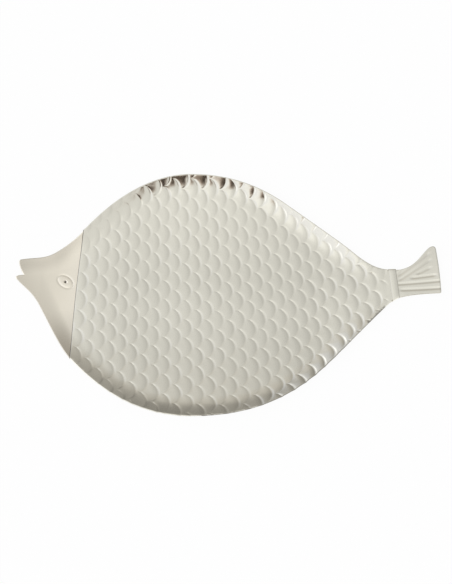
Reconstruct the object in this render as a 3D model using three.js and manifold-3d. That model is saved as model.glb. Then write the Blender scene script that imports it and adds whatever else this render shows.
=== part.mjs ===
// A fish-shaped serving platter in silver-plated sheet metal. The dished body carries chased scales,
// the plain head laps under its front edge, a rivet holds the eye, and a collar clasps the fan tail.
// Millimetres, +Z up. The head points along -X, the fish's back is on +Y, and the origin lies under
// the middle of the platter, on the surface that it stands on.

import * as THREE from "three";
import { mergeVertices } from "three/addons/utils/BufferGeometryUtils.js";
import Module from "manifold-3d";

const { lerp, smoothstep, degToRad } = THREE.MathUtils;

// Stock and joints
const SHEET = 1.5;
const JOINT_GAP = 0.3;

// Overall outline, with the snout at one end and the tail fin at the other
const HALF_LENGTH = 250.8;
const HALF_WIDTH = 147.7;
const HEAD_LENGTH = 78.2;
const TAIL_LENGTH = 60.3;
const GILL_RISE = 78.6;
const GILL_DROP = 78.6;
const GILL_LEAN = 10;
const GILL_BOW = 2;
const NECK_TOP = 30.8;
const NECK_LOW = -3.2;
const SNOUT_X = -HALF_LENGTH;
const NECK_X = HALF_LENGTH - TAIL_LENGTH;
const GILL_TOP = new THREE.Vector2(SNOUT_X + HEAD_LENGTH, GILL_RISE);
const GILL_LOW = new THREE.Vector2(GILL_TOP.x - GILL_LEAN, -GILL_DROP);

// Mouth: the upper lip, the corner that it opens from, the lower lip and the jaw under it
const LIP_TOP = new THREE.Vector2(SNOUT_X + 6.4, 42.5);
const LIP_FRONT = new THREE.Vector2(SNOUT_X + 3.2, 37.3);
const MOUTH_CORNER = new THREE.Vector2(SNOUT_X + 9.4, 23.6);
const LOW_LIP = new THREE.Vector2(SNOUT_X + 1.5, 21.9);
const JAW = new THREE.Vector2(SNOUT_X + 2.4, 16.8);
const LIP_BULGE = 0.8;
const MOUTH_BOW = 1.8;
const CHIN_BOW = 1.6;

// The two edges, each a smooth curve through [x, y, slope]
const BACK_EDGE = [
  [LIP_TOP.x, LIP_TOP.y, 0.25],
  [SNOUT_X + 45.3, 51.8, 0.62],
  [GILL_TOP.x, GILL_TOP.y, 1.1],
  [-44.5, HALF_WIDTH, 0],
  [NECK_X - 120, 110.9, -0.72],
  [NECK_X - 40, 50, -0.85],
  [NECK_X, NECK_TOP, 0],
];
const BELLY_EDGE = [
  [JAW.x, JAW.y, -1.1],
  [SNOUT_X + 28.5, -12.5, -1.78],
  [GILL_LOW.x, GILL_LOW.y, -1.09],
  [-42.5, -HALF_WIDTH, 0],
  [NECK_X - 80, -89.3, 0.93],
  [NECK_X - 5, -14.8, 0.96],
  [NECK_X + 14, NECK_LOW, 0.3],
];
const EDGE_STEP = 5;

// Dish: a shallow trough on both sides of a level strip, a curl along both edges, ramps that raise
// the rivet and the collar off the table, and a snout and tail that sweep up
const TROUGH_HEIGHT = 13;
const LEVEL_STRIP = 40;
const CURL_HEIGHT = 6;
const CURL_REACH = 22;
const CURL_AT_SNOUT = 0.12;
const CURL_RUN = 110;
const CURL_FADE = 60;
const GILL_RAMP = 110;
const RIVET_CLEARANCE = 0.5;
const SNOUT_BEND = 66;
const SNOUT_LIFT = 7;
const TAIL_RAMP = 95;
const TAIL_LEVEL = 15;
const TAIL_SWEEP = 4.5;
const COLLAR_CLEARANCE = 2.3;
const FORM_GRID = 8;

// Scales: staggered columns, each scale ending in a chased crescent towards the tail
const CHASING = 0.6;
const SCALE_PITCH = 12.32;
const SCALE_WIDTH = 23;
const SCALE_ORIGIN = new THREE.Vector2(7.2, -6.4);
const SCALE_FALL = 4.2;
const SCALE_STEP = 1.4;
const SCALE_LAND = 0.4;
const ROW_BEND_RADIUS = 1313;
const COLUMN_FAN_RADIUS = 1928;
const COLUMN_LEAN = -0.05;
const ARC_STEPS = 4;

// Head lap and eye. The rivet's head is the pupil, sunk in a seat in the middle of the eye
const HEAD_LAP = 7;
const LAP_INSET = 4;
const EYE_LENGTH = 20.5;
const EYE_WIDTH = 13.4;
const EYE_TILT = degToRad(-36);
const EYE_TO_GILL = 11.9;
const EYE_Y = 16.5;
const EYE_EDGE = 0.5;
const EYE_SHOULDER = 1.2;
const EYE_SEAT = 0.5;
const RIVET_SHANK = 2.4;
const RIVET_HEAD_HEIGHT = 0.7;
const PUPIL_LIP = 0.5;
const PUPIL_SINK = 0.4;
const RIVET_TAIL_LIP = 1.8;
const ROUND_SIDES = 36;
const RIVET_SIDES = 18;

// Collar that clasps the neck and the tail's tongue
const COLLAR_SET = 1;
const COLLAR_WIDTH = 8.9;
const COLLAR_LEAN = 3;
const COLLAR_WALL = 1.1;
const COLLAR_CROWN = 0.7;
const COLLAR_STEPS = 6;
const NECK_STOP = 1.5;
const TONGUE_PAST_COLLAR = 4;

// Tail fin. A ray runs from its share of the neck's height to its share of the tail's end
const TAIL_TIP_Y = 58.3;
const TAIL_TIP_ROUND = 9.5;
const TAIL_TIP_CROWN = 1.8;
const TAIL_TIP_SLANT = 3.3;
const TAIL_TIP_SWEEP = 11;
const TAIL_ROOT_SWEEP = 20;
const TAIL_CORNER_Y = 0.4;
const TAIL_CORNER_ROUND = 2.4;
const RAY_DEPTH = 0.9;
const RAY_STEPS = 6;
const TAIL_RAYS = [
  [0.212, 0.114],
  [0.395, 0.256],
  [0.474, 0.429],
  [0.535, 0.68],
  [0.605, 0.818],
  [0.683, 0.965],
  [0.77, 1.26],
];
const RAYS_BELOW = [-0.32, -0.23];
const RAYS_ABOVE = [1.13, 2.02];

// Heights that every cutting prism spans, how far a cut runs past what it cuts, and the depth that
// closes the scaled surface below
const CUT_LOW = -20;
const CUT_HIGH = 90;
const CUT_PAST = 1;
const CLOSING_DEPTH = -4000;
const MERGE_DISTANCE = 1e-3;

const PLATE_TOP = SHEET + CHASING;
const SCALE_HALF = SCALE_WIDTH / 2;
const SCALE_REACH = SCALE_PITCH - SCALE_STEP - SCALE_LAND;
const LAP_TOP = -JOINT_GAP;
const LAP_UNDERSIDE = LAP_TOP - SHEET;
const COLLAR_UNDERSIDE = LAP_UNDERSIDE - JOINT_GAP - COLLAR_WALL;
const RIVET_UNDERSIDE = LAP_UNDERSIDE - JOINT_GAP - RIVET_HEAD_HEIGHT;
const GILL_LIFT = RIVET_CLEARANCE - RIVET_UNDERSIDE;
const TAIL_LIFT = COLLAR_CLEARANCE - COLLAR_UNDERSIDE;
const EYE_X = GILL_TOP.x - EYE_TO_GILL - (EYE_LENGTH / 2) * Math.cos(EYE_TILT);
const EYE_DOME = EYE_SEAT + JOINT_GAP + RIVET_HEAD_HEIGHT + PUPIL_SINK;
const PUPIL_RADIUS = RIVET_SHANK / 2 + PUPIL_LIP;
const RIVET_TAIL_RADIUS = RIVET_SHANK / 2 + RIVET_TAIL_LIP;
const NECK_INSET = COLLAR_WALL + 2 * JOINT_GAP;

const wasm = await Module();
wasm.setup();

// The height and slope of an edge curve at x, level beyond its two ends.
function edgeAt(knots, x) {
  const last = knots.length - 1;
  if (x <= knots[0][0]) return { y: knots[0][1], slope: 0 };
  if (x >= knots[last][0]) return { y: knots[last][1], slope: 0 };
  const after = knots.findIndex((knot) => knot[0] > x);
  const [x0, y0, slope0] = knots[after - 1];
  const [x1, y1, slope1] = knots[after];
  const span = x1 - x0;
  const t = (x - x0) / span;
  const rise = (y1 - y0) / span;
  const bend = slope0 + slope1 - 2 * rise;
  const turn = rise - slope0 - bend;
  return {
    y: y0 + span * t * (slope0 + t * (turn + t * bend)),
    slope: slope0 + t * (2 * turn + 3 * t * bend),
  };
}

// How far the trough has climbed at a distance from the long axis.
function troughLift(y) {
  const beyond = Math.max(0, Math.abs(y) - LEVEL_STRIP / 2) / (HALF_WIDTH - LEVEL_STRIP / 2);
  return TROUGH_HEIGHT * beyond * beyond;
}

// How far the curl has climbed at a distance inside the edge.
function curlLift(inset) {
  const climb = Math.max(0, 1 - inset / CURL_REACH);
  return CURL_HEIGHT * climb * climb;
}

// How much curl there is along the length: full after its run from the snout, none at the neck.
function curlShare(x) {
  const headSide = lerp(CURL_AT_SNOUT, 1, smoothstep(x, SNOUT_X, SNOUT_X + CURL_RUN));
  const tailSide = 1 - smoothstep(x, NECK_X - CURL_FADE, NECK_X);
  return headSide * tailSide;
}

// How far the head and tail are raised from the level middle.
function endLift(x) {
  const gill = 1 - smoothstep(x, GILL_TOP.x, GILL_TOP.x + GILL_RAMP);
  const snout = Math.max(0, SNOUT_X + SNOUT_BEND - x) / SNOUT_BEND;
  const tail = smoothstep(x, NECK_X - TAIL_RAMP, NECK_X + TAIL_LEVEL);
  const sweep = Math.max(0, x - NECK_X) / TAIL_LENGTH;
  const headEnd = GILL_LIFT * gill + SNOUT_LIFT * snout * snout;
  const tailEnd = TAIL_LIFT * tail + TAIL_SWEEP * sweep * sweep;
  return headEnd + tailEnd;
}

// The platter's formed surface, which is the underside of the body. Every piece follows it.
function dish(x, y) {
  const back = edgeAt(BACK_EDGE, x);
  const belly = edgeAt(BELLY_EDGE, x);
  const backInset = (back.y - y) / Math.hypot(1, back.slope);
  const bellyInset = (y - belly.y) / Math.hypot(1, belly.slope);
  const curl = curlLift(backInset) + curlLift(bellyInset);
  return troughLift(y) + curlShare(x) * curl + endLift(x);
}

// A closed geometry as a solid that can be cut.
function solidOf(geometry) {
  const bare = new THREE.BufferGeometry();
  bare.setAttribute("position", geometry.getAttribute("position"));
  bare.setIndex(geometry.getIndex());
  const merged = mergeVertices(bare, MERGE_DISTANCE);
  const mesh = new wasm.Mesh({
    numProp: 3,
    vertProperties: merged.getAttribute("position").array,
    triVerts: new Uint32Array(merged.getIndex().array),
  });
  return new wasm.Manifold(mesh);
}

// A cut solid as a geometry for the scene graph.
function geometryOf(solid) {
  const { numProp, vertProperties, triVerts } = solid.getMesh();
  const geometry = new THREE.BufferGeometry();
  geometry.setAttribute("position", new THREE.BufferAttribute(vertProperties, numProp));
  geometry.setIndex(new THREE.BufferAttribute(triVerts, 1));
  geometry.computeVertexNormals();
  return geometry;
}

// Lifts each vertex of a geometry made flat onto the formed surface.
function form(geometry) {
  const position = geometry.getAttribute("position");
  for (let i = 0; i < position.count; i++) {
    position.setZ(i, position.getZ(i) + dish(position.getX(i), position.getY(i)));
  }
  return geometry;
}

// A block on a grid of columns along x and rows along y, with its own low and high at each point.
function gridBlock(columns, rows, pointAt) {
  const positions = [];
  const faces = [];
  for (let j = 0; j <= rows; j++) {
    for (let i = 0; i <= columns; i++) {
      const { x, y, low, high } = pointAt(i, j);
      positions.push(x, y, high, x, y, low);
    }
  }
  const upper = (i, j) => 2 * (j * (columns + 1) + i);
  const wall = (p, q) => faces.push(p + 1, q + 1, q, p + 1, q, p);
  for (let j = 0; j < rows; j++) {
    for (let i = 0; i < columns; i++) {
      const [a, b, c, d] = [upper(i, j), upper(i + 1, j), upper(i + 1, j + 1), upper(i, j + 1)];
      faces.push(a, b, c, a, c, d);
      faces.push(a + 1, c + 1, b + 1, a + 1, d + 1, c + 1);
    }
    wall(upper(columns, j), upper(columns, j + 1));
    wall(upper(0, j + 1), upper(0, j));
  }
  for (let i = 0; i < columns; i++) {
    wall(upper(i, 0), upper(i + 1, 0));
    wall(upper(i + 1, rows), upper(i, rows));
  }
  const geometry = new THREE.BufferGeometry();
  geometry.setAttribute("position", new THREE.Float32BufferAttribute(positions, 3));
  geometry.setIndex(faces);
  return geometry;
}

// A sheet over a rectangle of the form grid. The heights are functions of x and y over the dish.
function formedSheet(box, lowAt, highAt) {
  const first = box.min.clone().divideScalar(FORM_GRID).floor();
  const last = box.max.clone().divideScalar(FORM_GRID).ceil();
  const sheet = gridBlock(last.x - first.x, last.y - first.y, (i, j) => {
    const x = (first.x + i) * FORM_GRID;
    const y = (first.y + j) * FORM_GRID;
    return { x, y, low: lowAt(x, y), high: highAt(x, y) };
  });
  return solidOf(sheet);
}

// An upright prism on an outline, to cut a formed sheet to shape.
function prism(shape, curveSegments = 8) {
  const depth = CUT_HIGH - CUT_LOW;
  const geometry = new THREE.ExtrudeGeometry(shape, { depth, curveSegments, bevelEnabled: false });
  geometry.translate(0, 0, CUT_LOW);
  return solidOf(geometry);
}

// Points along an edge curve from one x to another, moved in y by an offset.
function edgePoints(knots, fromX, toX, offset = 0) {
  const count = Math.max(1, Math.ceil(Math.abs(toX - fromX) / EDGE_STEP));
  const points = [];
  for (let i = 0; i <= count; i++) {
    const x = lerp(fromX, toX, i / count);
    points.push(new THREE.Vector2(x, edgeAt(knots, x).y + offset));
  }
  return points;
}

// Points along the gill seam from belly to back, moved towards the tail by an offset.
function gillPoints(offset, inset) {
  const count = Math.ceil((GILL_TOP.y - GILL_LOW.y) / (2 * EDGE_STEP));
  const points = [];
  for (let i = 0; i <= count; i++) {
    const t = lerp(inset, 1 - inset, i / count);
    const point = new THREE.Vector2().lerpVectors(GILL_LOW, GILL_TOP, t);
    point.x += offset - GILL_BOW * 4 * t * (1 - t);
    points.push(point);
  }
  return points;
}

// The x of the collar's leaning front edge at a height, moved towards the tail by an offset.
function collarX(y, offset = 0) {
  const lean = (COLLAR_LEAN * (NECK_TOP - y)) / (NECK_TOP - NECK_LOW);
  return NECK_X - COLLAR_SET + lean + offset;
}

// A point of the neck at an offset from the collar's front edge, moved in y from an edge curve.
function neckPoint(knots, offset, inset) {
  const edgeY = knots.at(-1)[1];
  const y = edgeAt(knots, collarX(edgeY, offset)).y + inset;
  return new THREE.Vector2(collarX(y, offset), y);
}

// Points along the neck between two offsets from the collar's front edge.
function neckLine(knots, from, to, inset) {
  const points = [];
  for (let i = 0; i <= COLLAR_STEPS; i++) {
    points.push(neckPoint(knots, lerp(from, to, i / COLLAR_STEPS), inset));
  }
  return points;
}

// One point of a scale's arc: step along the arc, and line across it from the arc's own radius.
function scalePoint(column, row, step, line) {
  const angle = Math.PI * (step / ARC_STEPS - 0.5);
  const taper = Math.cos(angle);
  const u = column * SCALE_PITCH + (SCALE_REACH + line * taper) * taper;
  const v = row * SCALE_HALF + (SCALE_HALF + line * taper) * Math.sin(angle);
  const along = u + SCALE_ORIGIN.x;
  const x = along * (1 - v / COLUMN_FAN_RADIUS) + COLUMN_LEAN * v;
  const y = SCALE_ORIGIN.y + v + (along * along) / (2 * ROW_BEND_RADIUS);
  const depth = line === 0 ? CHASING * taper : 0;
  return new THREE.Vector3(x, y, dish(x, y) + PLATE_TOP - depth);
}

// The outline of a scale's plain field: its own crest, then the steps of the two scales before it.
function scaleField(column, row) {
  const field = [];
  for (let step = 0; step <= ARC_STEPS; step++) {
    field.push(scalePoint(column, row, step, -SCALE_FALL));
  }
  for (let step = ARC_STEPS / 2; step >= 0; step--) {
    field.push(scalePoint(column - 1, row + 1, step, SCALE_STEP));
  }
  for (let step = ARC_STEPS - 1; step >= ARC_STEPS / 2; step--) {
    field.push(scalePoint(column - 1, row - 1, step, SCALE_STEP));
  }
  return field;
}

// The triangles of one scale: its field, the fall to the chased line and the step up from it.
function scaleTriangles(column, row) {
  const field = scaleField(column, row);
  const plan = field.map((point) => new THREE.Vector2(point.x, point.y));
  const triangles = THREE.ShapeUtils.triangulateShape(plan, []).map((face) => face.map((k) => field[k]));
  for (const [inner, outer] of [[-SCALE_FALL, 0], [0, SCALE_STEP]]) {
    for (let step = 0; step < ARC_STEPS; step++) {
      const a = scalePoint(column, row, step, inner);
      const b = scalePoint(column, row, step, outer);
      const c = scalePoint(column, row, step + 1, outer);
      const d = scalePoint(column, row, step + 1, inner);
      if (step > 0) triangles.push([a, b, c]);
      if (step < ARC_STEPS - 1) triangles.push([a, c, d]);
    }
  }
  return triangles;
}

// The scaled upper surface, closed far below, so that it can be cut to the body's outline.
function scaledBlock() {
  const columns = Math.ceil((HALF_LENGTH - SCALE_ORIGIN.x) / SCALE_PITCH);
  const rows = Math.ceil((HALF_WIDTH + SCALE_WIDTH) / SCALE_HALF);
  const corners = [];
  for (let column = -columns; column <= columns; column++) {
    for (let row = -rows; row <= rows; row++) {
      if ((column + row) % 2 !== 0) continue;
      for (const triangle of scaleTriangles(column, row)) corners.push(...triangle);
    }
  }
  const surface = mergeVertices(new THREE.BufferGeometry().setFromPoints(corners), MERGE_DISTANCE);
  const faces = [...surface.getIndex().array];
  const edges = new Set();
  for (let k = 0; k < faces.length; k += 3) {
    for (let side = 0; side < 3; side++) edges.add(`${faces[k + side]} ${faces[k + ((side + 1) % 3)]}`);
  }
  const positions = [...surface.getAttribute("position").array, 0, 0, CLOSING_DEPTH];
  const bottom = positions.length / 3 - 1;
  for (const edge of edges) {
    const [from, to] = edge.split(" ").map(Number);
    if (!edges.has(`${to} ${from}`)) faces.push(to, from, bottom);
  }
  const closed = new THREE.BufferGeometry();
  closed.setAttribute("position", new THREE.Float32BufferAttribute(positions, 3));
  closed.setIndex(faces);
  return solidOf(closed);
}

// Body: the scaled dish, from the gill seam to the end of the neck inside the collar.
function makeBody() {
  const neckEnd = COLLAR_WIDTH - NECK_STOP;
  const outline = new THREE.Shape([
    ...edgePoints(BELLY_EDGE, GILL_LOW.x, neckPoint(BELLY_EDGE, -JOINT_GAP, 0).x),
    ...neckLine(BELLY_EDGE, -JOINT_GAP, neckEnd, NECK_INSET),
    ...neckLine(BACK_EDGE, neckEnd, -JOINT_GAP, -NECK_INSET),
    ...edgePoints(BACK_EDGE, neckPoint(BACK_EDGE, -JOINT_GAP, 0).x, GILL_TOP.x),
    ...gillPoints(0, 0).reverse().slice(1, -1),
  ]);
  const reach = new THREE.Vector2(HALF_LENGTH, HALF_WIDTH + FORM_GRID);
  const span = new THREE.Box2(reach.clone().negate(), reach);
  const aboveDish = formedSheet(span, dish, () => CUT_HIGH);
  return prism(outline).intersect(scaledBlock()).intersect(aboveDish);
}

// The head's outline: brow and jaw, the lap behind the gill seam, and the open mouth.
function headOutline() {
  const lapInset = LAP_INSET / (GILL_TOP.y - GILL_LOW.y);
  const outline = new THREE.Shape([
    ...edgePoints(BELLY_EDGE, JAW.x, GILL_LOW.x),
    ...gillPoints(HEAD_LAP, lapInset),
    ...edgePoints(BACK_EDGE, GILL_TOP.x, LIP_TOP.x),
  ]);
  const mouthX = lerp(MOUTH_CORNER.x, LOW_LIP.x, 0.6);
  const mouthY = lerp(MOUTH_CORNER.y, LIP_FRONT.y, 0.4);
  const chinX = SNOUT_X - Math.sqrt((LOW_LIP.x - SNOUT_X) * (JAW.x - SNOUT_X));
  outline.quadraticCurveTo(LIP_FRONT.x - LIP_BULGE, LIP_TOP.y, LIP_FRONT.x, LIP_FRONT.y);
  outline.quadraticCurveTo(LIP_FRONT.x + MOUTH_BOW, mouthY, MOUTH_CORNER.x, MOUTH_CORNER.y);
  outline.quadraticCurveTo(mouthX, MOUTH_CORNER.y, LOW_LIP.x, LOW_LIP.y);
  outline.quadraticCurveTo(chinX, LOW_LIP.y - CHIN_BOW, JAW.x, JAW.y);
  return outline;
}

// Head: a plain sheet that follows the dish and slips under the body's front edge.
function makeHead() {
  const outline = headOutline();
  const span = new THREE.Box2().setFromPoints(outline.getPoints());
  const sheet = formedSheet(
    span,
    (x, y) => dish(x, y) + LAP_UNDERSIDE,
    (x, y) => dish(x, y) + LAP_TOP,
  );
  const rivetHole = new THREE.Shape();
  rivetHole.absarc(EYE_X, EYE_Y, RIVET_SHANK / 2 + JOINT_GAP, 0, 2 * Math.PI);
  return sheet.intersect(prism(outline)).subtract(prism(rivetHole, RIVET_SIDES));
}

// A turned form on an upright axis at the eye, from a profile of [radius, height].
function turned(profile, sides) {
  const points = profile.map(([radius, height]) => new THREE.Vector2(radius, height));
  return new THREE.LatheGeometry(points, sides).rotateX(Math.PI / 2);
}

// Eye: a low oval dome with a counterbored hole for the rivet.
function makeEye() {
  const oval = turned(
    [
      [0, 0],
      [1, 0],
      [1, EYE_EDGE],
      [0.88, EYE_SHOULDER],
      [0.6, lerp(EYE_SHOULDER, EYE_DOME, 0.65)],
      [0, EYE_DOME],
    ],
    ROUND_SIDES,
  );
  oval.scale(EYE_LENGTH / 2, EYE_WIDTH / 2, 1);
  oval.rotateZ(EYE_TILT);
  const shank = RIVET_SHANK / 2 + JOINT_GAP;
  const pupil = PUPIL_RADIUS + JOINT_GAP;
  const bore = turned(
    [
      [0, -CUT_PAST],
      [shank, -CUT_PAST],
      [shank, EYE_SEAT],
      [pupil, EYE_SEAT],
      [pupil, EYE_DOME + CUT_PAST],
      [0, EYE_DOME + CUT_PAST],
    ],
    RIVET_SIDES,
  );
  const boss = geometryOf(solidOf(oval).subtract(solidOf(bore)));
  return solidOf(form(boss.translate(EYE_X, EYE_Y, 0)));
}

// Rivet: the eye's pupil, its shank through the head, and the tail closed below it.
function makeRivet() {
  const tailTop = RIVET_UNDERSIDE + RIVET_HEAD_HEIGHT;
  const pupilTop = EYE_DOME - PUPIL_SINK;
  const rivet = turned(
    [
      [0, RIVET_UNDERSIDE],
      [RIVET_TAIL_RADIUS, RIVET_UNDERSIDE],
      [RIVET_TAIL_RADIUS, tailTop],
      [RIVET_SHANK / 2, tailTop],
      [RIVET_SHANK / 2, pupilTop - RIVET_HEAD_HEIGHT],
      [PUPIL_RADIUS, pupilTop - RIVET_HEAD_HEIGHT],
      [PUPIL_RADIUS, pupilTop],
      [0, pupilTop],
    ],
    RIVET_SIDES,
  );
  return solidOf(form(rivet.translate(EYE_X, EYE_Y, 0)));
}

// A length of the collar's band between two heights over the dish, set in from the neck's edges.
function collarBlock(low, high, crown, before, after, inset) {
  const rows = Math.ceil((NECK_TOP - NECK_LOW) / EDGE_STEP);
  return gridBlock(COLLAR_STEPS, rows, (i, j) => {
    const across = i / COLLAR_STEPS;
    const offset = lerp(before, after, across);
    const lowY = neckPoint(BELLY_EDGE, offset, inset).y;
    const topY = neckPoint(BACK_EDGE, offset, -inset).y;
    const y = lerp(lowY, topY, j / rows);
    const x = collarX(y, offset);
    const rise = crown * 4 * across * (1 - across);
    return { x, y, low: dish(x, y) + low, high: dish(x, y) + high + rise };
  });
}

// Collar: a crowned band that wraps the neck and the tail's tongue.
function makeCollar() {
  const insideLow = COLLAR_UNDERSIDE + COLLAR_WALL;
  const insideHigh = PLATE_TOP + JOINT_GAP;
  const bandTop = insideHigh + COLLAR_WALL;
  const band = collarBlock(COLLAR_UNDERSIDE, bandTop, COLLAR_CROWN, 0, COLLAR_WIDTH, 0);
  const opening = collarBlock(insideLow, insideHigh, 0, -COLLAR_WIDTH, 2 * COLLAR_WIDTH, COLLAR_WALL);
  return solidOf(band).subtract(solidOf(opening));
}

// The tail's outline: the tongue inside the collar, then the fan with its rounded upper tip.
function tailOutline() {
  const rootOffset = COLLAR_WIDTH + JOINT_GAP;
  const rootLow = neckPoint(BELLY_EDGE, rootOffset, 0);
  const rootTop = neckPoint(BACK_EDGE, rootOffset, 0);
  const outline = new THREE.Shape([
    ...neckLine(BACK_EDGE, rootOffset, -TONGUE_PAST_COLLAR, -NECK_INSET),
    ...neckLine(BELLY_EDGE, -TONGUE_PAST_COLLAR, rootOffset, NECK_INSET),
    rootLow,
  ]);
  const cornerX = HALF_LENGTH - TAIL_CORNER_ROUND;
  const tipX = HALF_LENGTH - TAIL_TIP_SLANT;
  const tipTop = TAIL_TIP_Y + TAIL_TIP_CROWN;
  const tipBack = new THREE.Vector2(tipX - TAIL_TIP_ROUND, TAIL_TIP_Y - TAIL_TIP_CROWN);
  const middleY = lerp(TAIL_CORNER_Y, TAIL_TIP_Y, 0.5);
  const levelY = lerp(rootLow.y, TAIL_CORNER_Y, 0.6);
  outline.bezierCurveTo(
    ...[lerp(rootLow.x, cornerX, 0.2), levelY],
    ...[lerp(rootLow.x, cornerX, 0.5), TAIL_CORNER_Y],
    ...[cornerX, TAIL_CORNER_Y],
  );
  outline.quadraticCurveTo(HALF_LENGTH, TAIL_CORNER_Y, HALF_LENGTH, TAIL_CORNER_Y + TAIL_CORNER_ROUND);
  outline.quadraticCurveTo(HALF_LENGTH, middleY, tipX, TAIL_TIP_Y - TAIL_TIP_ROUND / 2);
  outline.bezierCurveTo(tipX, tipTop, tipX - TAIL_TIP_ROUND / 2, tipTop, tipBack.x, tipBack.y);
  outline.bezierCurveTo(
    ...[tipBack.x - TAIL_TIP_SWEEP, tipBack.y - TAIL_TIP_SWEEP],
    ...[rootTop.x + TAIL_ROOT_SWEEP, rootTop.y],
    ...[rootTop.x, rootTop.y],
  );
  return outline;
}

// Tail fin: a fan pleated along its rays, with a plain tongue that passes through the collar.
function makeTail() {
  const lines = [{ ray: RAYS_BELOW, depth: 0 }];
  for (const ray of TAIL_RAYS) {
    const before = lines.at(-1).ray;
    const ridge = [(before[0] + ray[0]) / 2, (before[1] + ray[1]) / 2];
    lines.push({ ray: ridge, depth: 0 }, { ray, depth: RAY_DEPTH });
  }
  lines.push({ ray: RAYS_ABOVE, depth: 0 });
  const fan = gridBlock(RAY_STEPS + 1, lines.length - 1, (i, j) => {
    const { ray, depth } = lines[j];
    const along = Math.max(0, i - 1) / RAY_STEPS;
    const rootY = lerp(NECK_LOW, NECK_TOP, ray[0]);
    const endY = lerp(TAIL_CORNER_Y, TAIL_TIP_Y, ray[1]);
    const rootX = collarX(rootY, i === 0 ? -COLLAR_WIDTH : COLLAR_WIDTH);
    const x = lerp(rootX, HALF_LENGTH + CUT_PAST, along);
    const y = lerp(rootY, endY, along);
    const pleat = depth * smoothstep(along, 0, 1 / RAY_STEPS);
    const lift = dish(x, y) - pleat;
    return { x, y, low: lift + LAP_UNDERSIDE, high: lift + LAP_TOP };
  });
  return solidOf(fan).intersect(prism(tailOutline()));
}

// Silver plate: a polished body and a satin head, tail and eye
const polished = new THREE.MeshStandardMaterial({ color: 0xd8d5ca, metalness: 1, roughness: 0.2 });
const satin = new THREE.MeshStandardMaterial({ color: 0xddd6c6, metalness: 1, roughness: 0.3 });
const shaded = new THREE.MeshStandardMaterial({ color: 0x6f675b, metalness: 1, roughness: 0.45 });

const platter = new THREE.Group();
const pieces = [
  ["body_dish", makeBody, polished],
  ["head_plate", makeHead, satin],
  ["eye_boss", makeEye, satin],
  ["eye_rivet", makeRivet, shaded],
  ["tail_collar", makeCollar, polished],
  ["tail_fin", makeTail, polished],
];
for (const [name, make, material] of pieces) {
  const piece = new THREE.Mesh(geometryOf(make()), material);
  piece.name = name;
  platter.add(piece);
}

export default platter;
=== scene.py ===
# A fish-shaped serving platter in silver plate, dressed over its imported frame: a chased body, a plain
# head with a riveted eye, a collar and a pleated tail. The head points along -X and the back lies on +Y.

import math

import bpy
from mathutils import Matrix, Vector, noise


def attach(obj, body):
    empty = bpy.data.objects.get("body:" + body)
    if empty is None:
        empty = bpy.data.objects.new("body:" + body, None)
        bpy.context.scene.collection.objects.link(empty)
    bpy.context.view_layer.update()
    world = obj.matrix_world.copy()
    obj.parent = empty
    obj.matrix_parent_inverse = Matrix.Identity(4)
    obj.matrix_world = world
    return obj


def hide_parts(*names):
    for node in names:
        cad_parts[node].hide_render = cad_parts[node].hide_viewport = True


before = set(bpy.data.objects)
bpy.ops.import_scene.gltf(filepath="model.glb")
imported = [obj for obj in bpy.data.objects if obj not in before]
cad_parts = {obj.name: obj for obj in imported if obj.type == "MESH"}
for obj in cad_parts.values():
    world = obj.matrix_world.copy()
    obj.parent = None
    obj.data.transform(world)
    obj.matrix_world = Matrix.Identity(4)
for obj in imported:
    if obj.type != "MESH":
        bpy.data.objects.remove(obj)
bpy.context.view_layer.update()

# Sizes are in millimetres, as in the part, and MM turns them into metres
MM = 0.001
SHEET = 1.5
SHEET_ROUND = SHEET / 2
JOINT_GAP = 0.3

# Sheet meshes
EDGE_LINES = 3
EDGE_PART = 0.1
FACES_UP = 0.5
GRID_MERGE = 0.02
OUTLINE_MERGE = 0.3
CUTTER_BASE = -2 * SHEET
CUTTER_HEIGHT = 3 * SHEET

# Overall outline
HALF_LENGTH = 250.8
TAIL_LENGTH = 60.3
HALF_WIDTH = 147.7
SNOUT_X = -HALF_LENGTH
NECK_X = HALF_LENGTH - TAIL_LENGTH
NECK_TOP = 30.8
NECK_LOW = -3.2
GILL_TOP = Vector((SNOUT_X + 78.2, 78.6))
GILL_LOW = Vector((SNOUT_X + 68.2, -78.6))
GILL_BOW = 2.0
EDGE_STEP = 2.5

# Mouth
LIP_TOP = Vector((SNOUT_X + 6.4, 42.5))
LIP_FRONT = Vector((SNOUT_X + 3.2, 37.3))
MOUTH_CORNER = Vector((SNOUT_X + 9.4, 23.6))
LOW_LIP = Vector((SNOUT_X + 1.5, 21.9))
JAW = Vector((SNOUT_X + 2.4, 16.8))
LIP_BULGE = 0.8
LIP_STEPS = 6
MOUTH_BOW = 1.8
MOUTH_BOW_SHARE = 0.4
LOW_LIP_SHARE = 0.6
CHIN_BOW = 1.6

# The two edges, each a smooth curve through x, y and slope
BACK_EDGE = [
    (LIP_TOP.x, LIP_TOP.y, 0.25),
    (SNOUT_X + 45.3, 51.8, 0.62),
    (GILL_TOP.x, GILL_TOP.y, 1.1),
    (-44.5, HALF_WIDTH, 0.0),
    (NECK_X - 120, 110.9, -0.72),
    (NECK_X - 40, 50.0, -0.85),
    (NECK_X, NECK_TOP, 0.0),
]
BELLY_EDGE = [
    (JAW.x, JAW.y, -1.1),
    (SNOUT_X + 28.5, -12.5, -1.78),
    (GILL_LOW.x, GILL_LOW.y, -1.09),
    (-42.5, -HALF_WIDTH, 0.0),
    (NECK_X - 80, -89.3, 0.93),
    (NECK_X - 5, -14.8, 0.96),
    (NECK_X + 14, NECK_LOW, 0.3),
]

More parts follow.
